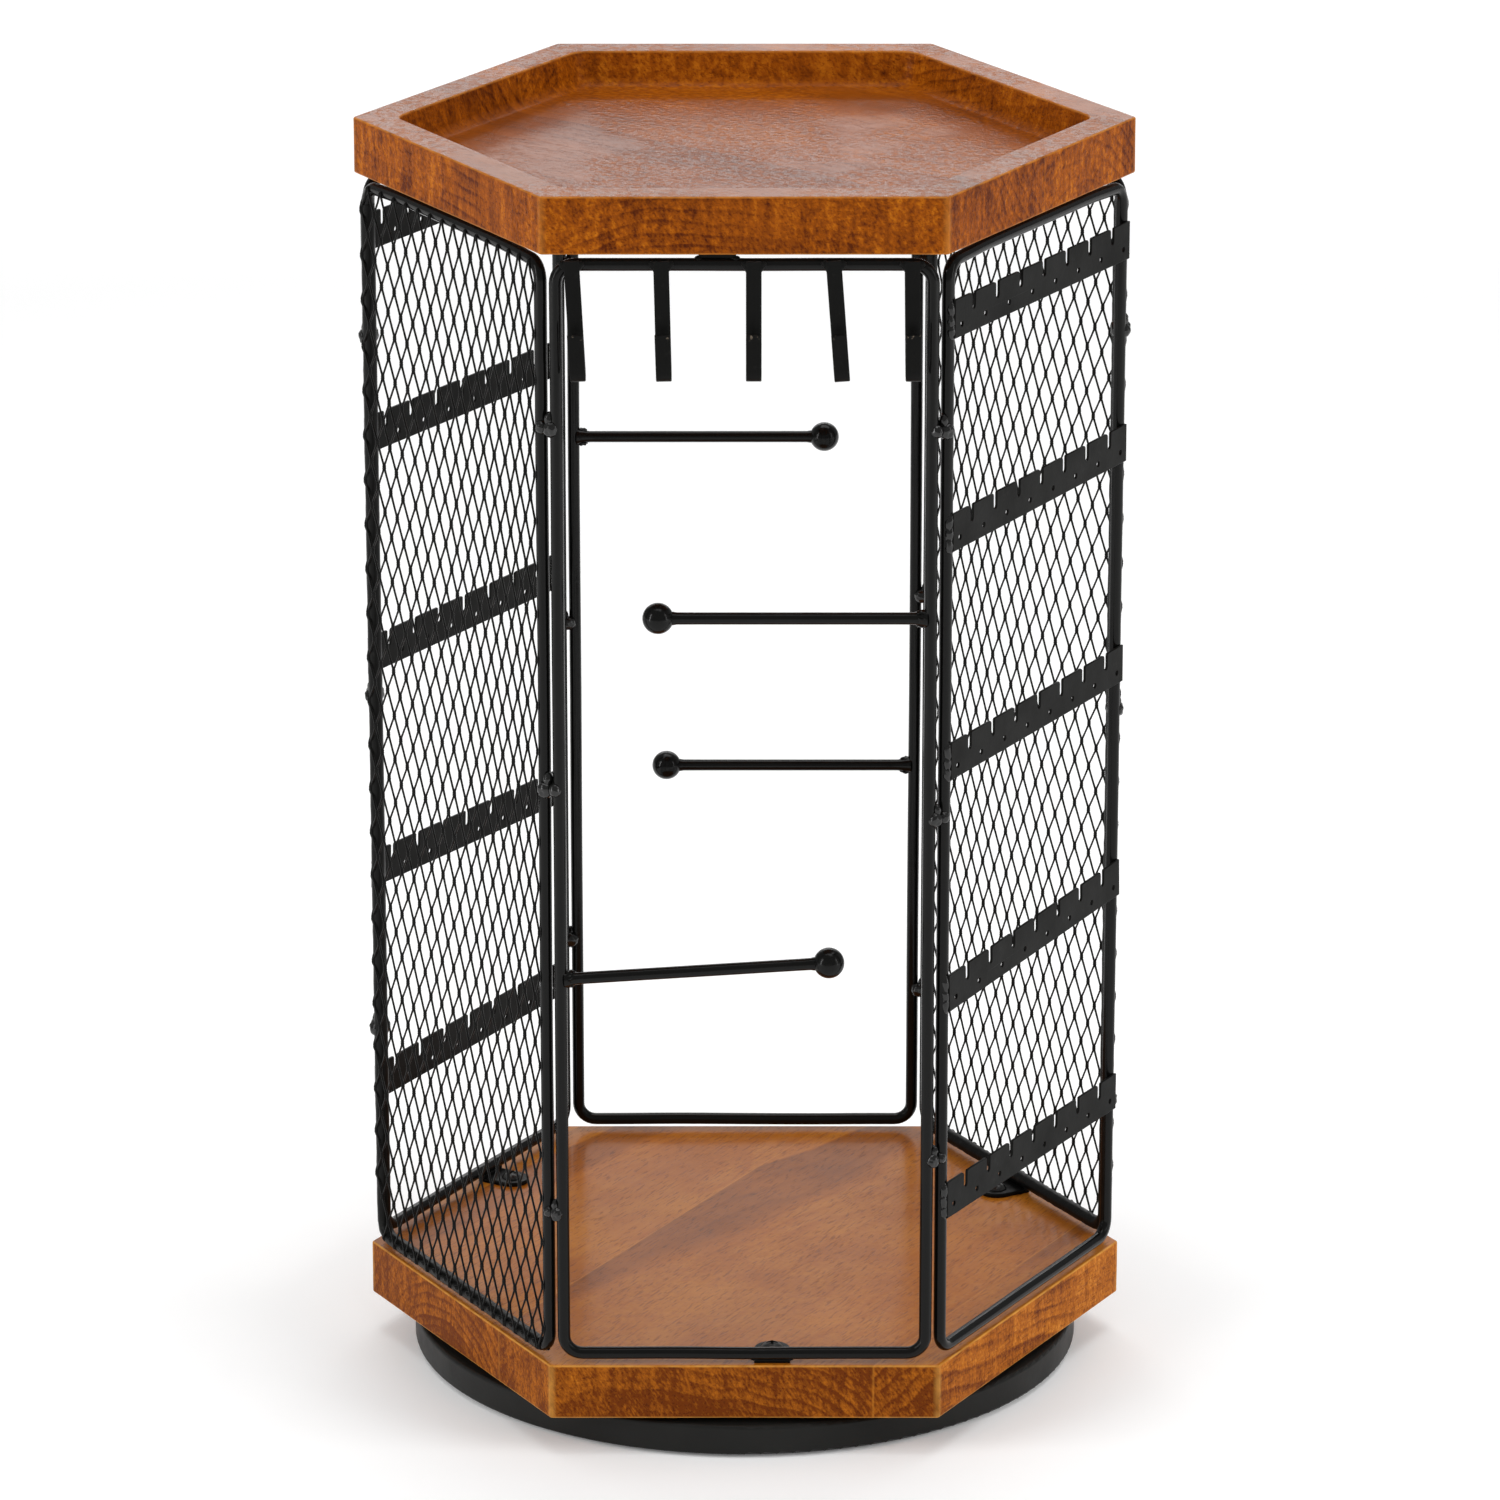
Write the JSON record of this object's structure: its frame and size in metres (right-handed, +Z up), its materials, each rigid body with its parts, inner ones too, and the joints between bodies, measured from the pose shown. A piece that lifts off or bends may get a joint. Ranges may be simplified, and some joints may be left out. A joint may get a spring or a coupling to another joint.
{
  "type": "rotating display rack",
  "caption": "Hexagonal countertop jewellery display: wooden tray on a welded black wire cage with hooks, rods, notched rails and mesh, turning on a round stand.",
  "frame": {"origin": "on the resting surface, under the turning axis", "axes": "+Z up along the turning axis; -Y faces the open side with hooks and rods; +X to the right seen from there"},
  "size_m": [0.26, 0.239, 0.433],
  "materials": {
    "stained_wood": "warm orange-brown stain under satin lacquer",
    "black_wire": "satin black powder coat",
    "black_rail": "satin black powder coat on sheet",
    "black_mesh": "satin black powder coat on expanded mesh",
    "black_strip": "satin black powder coat on flat strip",
    "black_screw": "black oxide",
    "stand_paint": "fibreboard painted satin black",
    "foot_rubber": "matte",
    "retainer_plastic": "natural nylon",
    "plated_steel": "zinc plated"
  },
  "bodies": {
    "stand": {"turntable_disc": "stand_paint", "rubber_feet": "foot_rubber", "bearing_lower_plate": "plated_steel", "centre_rivet": "plated_steel", "stand_screws": "plated_steel"},
    "ball_ring": {"ball_retainer": "retainer_plastic", "bearing_balls": "plated_steel"},
    "rack": {"top_tray": "stained_wood", "base_board": "stained_wood", "frame_front": "black_wire", "frame_front_right": "black_wire", "frame_back_right": "black_wire", "frame_back": "black_wire", "frame_back_left": "black_wire", "frame_front_left": "black_wire", "corner_welds": "black_wire", "rail_front_right_1": "black_rail", "rail_front_right_2": "black_rail", "rail_front_right_3": "black_rail", "rail_front_right_4": "black_rail", "rail_front_right_5": "black_rail", "rail_back_left_1": "black_rail", "rail_back_left_2": "black_rail", "rail_back_left_3": "black_rail", "rail_back_left_4": "black_rail", "rail_back_left_5": "black_rail", "mesh_front_left": "black_mesh", "mesh_back_right": "black_mesh", "hook_front_1": "black_strip", "hook_front_2": "black_strip", "hook_front_3": "black_strip", "hook_front_4": "black_strip", "hook_front_5": "black_strip", "hook_back_1": "black_strip", "hook_back_2": "black_strip", "hook_back_3": "black_strip", "hook_back_4": "black_strip", "hook_back_5": "black_strip", "rod_front_upper": "black_wire", "rod_front_lower": "black_wire", "rod_back_upper": "black_wire", "rod_back_lower": "black_wire", "ball_front_upper": "black_wire", "ball_front_lower": "black_wire", "ball_back_upper": "black_wire", "ball_back_lower": "black_wire", "tab_bottom_front": "black_strip", "tab_bottom_back_right": "black_strip", "tab_bottom_back_left": "black_strip", "tab_top_front": "black_strip", "tab_top_back_right": "black_strip", "tab_top_back_left": "black_strip", "base_screws": "black_screw", "tray_screws": "black_screw", "bearing_upper_plate": "plated_steel", "rack_screws": "plated_steel"}
  },
  "joints": [
    {"name": "rack_spin", "type": "hinge", "parent": "stand", "child": "rack", "pos_m": [0, 0, 0.0135], "axis": [0, 0, 1], "continuous": true},
    {"name": "ring_spin", "type": "hinge", "parent": "stand", "child": "ball_ring", "pos_m": [0, 0, 0.0095], "axis": [0, 0, 1], "continuous": true}
  ],
  "couplings": [
    {"joint": "ring_spin", "follows": "rack_spin", "ratio": 0.5}
  ]
}
